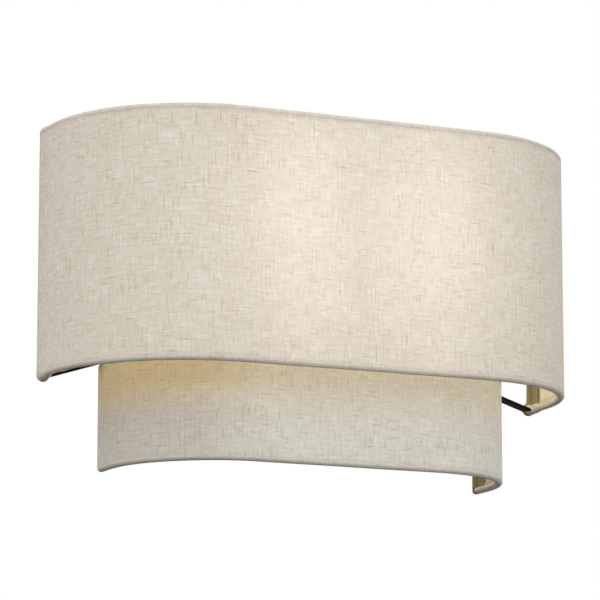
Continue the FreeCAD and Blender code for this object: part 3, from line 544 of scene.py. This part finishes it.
def linen_cover(name, node, straight, finishes, glow, spill, tabs):
    """One shade's linen in place of its solid: panel, hems and folded edges in one mesh."""
    plan = Plan(node, straight)
    bm = bmesh.new()
    uv = bm.loops.layers.uv.new("cloth")
    lights = {}
    for layer, amount in (("glow", glow), ("spill", spill)):
        lights[bm.verts.layers.float.new(layer)] = amount
    panel(bm, uv, plan, lights)
    hems(bm, uv, plan, lights, tabs)
    turned_in(bm, uv, plan)
    mesh = bpy.data.meshes.new(name)
    bm.to_mesh(mesh)
    bm.free()
    for finish in finishes:
        mesh.materials.append(finish)
    cover = bpy.data.objects.new(name, mesh)
    bpy.context.scene.collection.objects.link(cover)
    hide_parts(node)
    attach(cover, "shade")


# ---------------------------------------------------------------- lamps

LAMP_GLOW = "#FFF1D4"
LAMP_POWER = 0.24  # watts of light, plain beside the studio light
UPPER_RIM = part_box("upper_cover")[0].z
globe_low, globe_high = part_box("lamp_right_globe")
LAMP_X = (globe_low.x + globe_high.x) / 2  # each lamp's distance from the middle
LAMP_Y = (globe_low.y + globe_high.y) / 2
LAMP_Z = globe_low.z * 0.45 + globe_high.z * 0.55  # a little above the globe's middle
LAMP_RADIUS = 12 * MM
NEAR = 47 * MM  # from a lamp's axis to the upper shade's face in front of it
LINER_SPREAD = 0.5  # the styrene evens the light out up and down by this much
LIGHT_THROUGH = 0.41  # brightest light through the upper shade, against white
LIGHT_FALLS = 0.6  # the power that the two layers soften its falling off to
HEM_SHARE = 0.4  # of that light comes through the hems
FOLDED_SHARE = 0.9  # and this through the cloth that is double near the wall
LOWER_LIGHT_LEFT = 0.045  # light through the lower shade at its left end
LOWER_LIGHT_RIGHT = 0.195  # and over the rest of it
LEFT_END = (-95 * MM, -35 * MM)  # x where the one passes into the other
SPILT_LIGHT = 0.155  # warm light on the lower shade's left side, under the upper rim
SPILT_RIGHT = 0.28  # share of it on the right side
SPILL_ACROSS = (20 * MM, 100 * MM)  # left of the middle, where it rises to its full strength
SPILL_DOWN = (4 * MM, 28 * MM)  # below the upper rim, where it fades out


def lamp_light_on(point, facing):
    """How strongly both lamps light a place on a shade, against the place straight in front of one."""
    total = 0.0
    for side in (-1, 1):
        away = point - Vector((side * LAMP_X, LAMP_Y, LAMP_Z))
        total += max(0.0, away.normalized().dot(facing)) * NEAR ** 2 / away.length_squared
    return total


def edge_share(plan, run, height):
    """Least in the hem, where wire and folds stop the light, rising to 1 past the turned-in edge."""
    upright = min(run, plan.length - run)
    edge = min(upright, height - plan.low, plan.high - height)
    past_hem = (FOLDED_SHARE - HEM_SHARE) * eased(edge, HEM_RADIUS, 2 * HEM_RADIUS)
    past_fold = (1 - FOLDED_SHARE) * eased(upright, TURN_IN, 1.5 * TURN_IN)
    return HEM_SHARE + past_hem + past_fold


def upper_glow(plan, point, run, height):
    """From both lamps, softened by the styrene and stopped by the hems."""
    facing = (plan.at(run, height, MM) - plan.at(run, height, 0)) / MM
    nearer = Vector((point.x, point.y, LAMP_Z + LINER_SPREAD * (point.z - LAMP_Z)))
    return LIGHT_THROUGH * lamp_light_on(nearer, facing) ** LIGHT_FALLS * edge_share(plan, run, height)


def lower_glow(plan, point, run, height):
    """Even over most of the lower shade and fading towards its left end."""
    rightward = eased(point.x, *LEFT_END)
    light = LOWER_LIGHT_LEFT + (LOWER_LIGHT_RIGHT - LOWER_LIGHT_LEFT) * rightward
    return light * edge_share(plan, run, height)


def no_spill(plan, point, run, height):
    return 0.0


def lower_spill(plan, point, run, height):
    """Strongest at the lower shade's left side, just under the upper shade's rim."""
    down = UPPER_RIM - height
    leftward = SPILT_RIGHT + (1 - SPILT_RIGHT) * eased(-point.x, *SPILL_ACROSS)
    return SPILT_LIGHT * leftward * (1 - eased(down, *SPILL_DOWN))


def lamp_lights():
    for name, side in (("left", -1), ("right", 1)):
        for part in ("globe", "light_engine"):
            nodes[f"lamp_{name}_{part}"].visible_shadow = False
        light = bpy.data.lights.new(f"lamp_{name}_light", "POINT")
        light.energy = LAMP_POWER
        light.color = tone(LAMP_GLOW)[:3]
        light.shadow_soft_size = LAMP_RADIUS
        lamp = bpy.data.objects.new(light.name, light)
        lamp.location = (side * LAMP_X, LAMP_Y, LAMP_Z)
        bpy.context.scene.collection.objects.link(lamp)


# ---------------------------------------------------------------- camera, floor and studio light

PHOTO_WIDTH = 600  # pixels
FLOOR = -1.3  # metres, the floor's height from the middle of the pan
FLOOR_HALF = 4.0  # metres, half the floor's side
LIGHT_FROM_BELOW = 0.12  # the surround's strength straight down and straight up
LIGHT_FROM_ABOVE = 0.95
FOCAL_PIXELS = 3439.3
CAMERA_TURN = math.radians(24.57)
CAMERA_LIFT = math.radians(10.56)
CAMERA_PLACE = (-0.78756, -1.73426, -0.36878)


def camera():
    data = bpy.data.cameras.new("photo_camera")
    data.sensor_fit = "HORIZONTAL"
    data.sensor_width = 36
    data.lens = FOCAL_PIXELS / PHOTO_WIDTH * data.sensor_width
    data.clip_start = 0.1
    data.clip_end = 50
    place = bpy.data.objects.new("photo_camera", data)
    ahead = Vector((math.sin(CAMERA_TURN) * math.cos(CAMERA_LIFT),
                    math.cos(CAMERA_TURN) * math.cos(CAMERA_LIFT), math.sin(CAMERA_LIFT)))
    right = Vector((math.cos(CAMERA_TURN), -math.sin(CAMERA_TURN), 0))
    turn = Matrix((right, right.cross(ahead), -ahead)).transposed().to_4x4()
    place.matrix_world = Matrix.Translation(CAMERA_PLACE) @ turn
    bpy.context.scene.collection.objects.link(place)
    bpy.context.scene.camera = place


def seen_directly(tree):
    """1 for a ray from the camera or its reflection, 0 for one that gathers light."""
    path = add(tree, "ShaderNodeLightPath").node.outputs
    seen = add(tree, MATH, {0: path["Is Camera Ray"], 1: path["Is Glossy Ray"]}, operation="MAXIMUM")
    return add(tree, MATH, {0: seen, 1: path["Is Transmission Ray"]}, operation="MAXIMUM")


def studio():
    """White surround, dimmer from below than from above, and a pale floor well under the light."""
    world = bpy.data.worlds.new("studio")
    bpy.context.scene.world = world
    world.use_nodes = True
    tree = world.node_tree
    tree.nodes.clear()
    way = add(tree, "ShaderNodeTexCoord", gives="Generated")
    up = add(tree, "ShaderNodeSeparateXYZ", {0: way}, gives="Z")
    gather = add(tree, RANGE, {0: up, 1: -1.0, 2: 1.0, 3: LIGHT_FROM_BELOW, 4: LIGHT_FROM_ABOVE})
    level = add(tree, MIX, {0: seen_directly(tree), 2: gather, 3: 1.0}, data_type="FLOAT")
    back = add(tree, "ShaderNodeBackground", {"Color": (1, 1, 1, 1), "Strength": level})
    add(tree, "ShaderNodeOutputWorld", {"Surface": back})

    bm = bmesh.new()
    bmesh.ops.create_grid(bm, x_segments=1, y_segments=1, size=FLOOR_HALF)
    bmesh.ops.translate(bm, verts=bm.verts, vec=(0, 0, FLOOR))
    mesh = bpy.data.meshes.new("floor")
    bm.to_mesh(mesh)
    bm.free()
    floor = bpy.data.objects.new("floor", mesh)
    bpy.context.scene.collection.objects.link(floor)
    material, tree, surface = new_material("pale_floor")
    colour = add(tree, MIX, {0: seen_directly(tree), 6: tone("#5E5E5C"), 7: tone("#F6F6F4")},
                 gives=2, data_type="RGBA")
    feed(tree, surface, {"Base Color": colour, "Roughness": 0.8})
    mesh.materials.append(material)


def softbox(name, place, aim, size, power):
    """A large square studio light, aimed at a point."""
    data = bpy.data.lights.new(name, "AREA")
    data.size = size
    data.energy = power
    light = bpy.data.objects.new(name, data)
    light.location = place
    light.rotation_euler = (Vector(aim) - Vector(place)).to_track_quat("-Z", "Y").to_euler()
    bpy.context.scene.collection.objects.link(light)


# ---------------------------------------------------------------- the whole light

dress_cad_nodes()
# straight is the length of each shade's short ends against the wall
linen_cover("upper_linen", "upper_cover", straight=18 * MM, finishes=[linen_upper, linen_turned_shaded],
            glow=upper_glow, spill=no_spill, tabs=True)
linen_cover("lower_linen", "lower_cover", straight=15 * MM, finishes=[linen_lower, linen_turned_shaded],
            glow=lower_glow, spill=lower_spill, tabs=False)
lamp_lights()
camera()
studio()
MIDDLE = (0, -0.05, 0)
softbox("key_softbox", place=(-1.9, -1.9, 1.15), aim=MIDDLE, size=1.6, power=27)
softbox("fill_softbox", place=(1.7, -2.2, 0.3), aim=MIDDLE, size=1.6, power=10)
bpy.context.scene.view_settings.view_transform = "Standard"
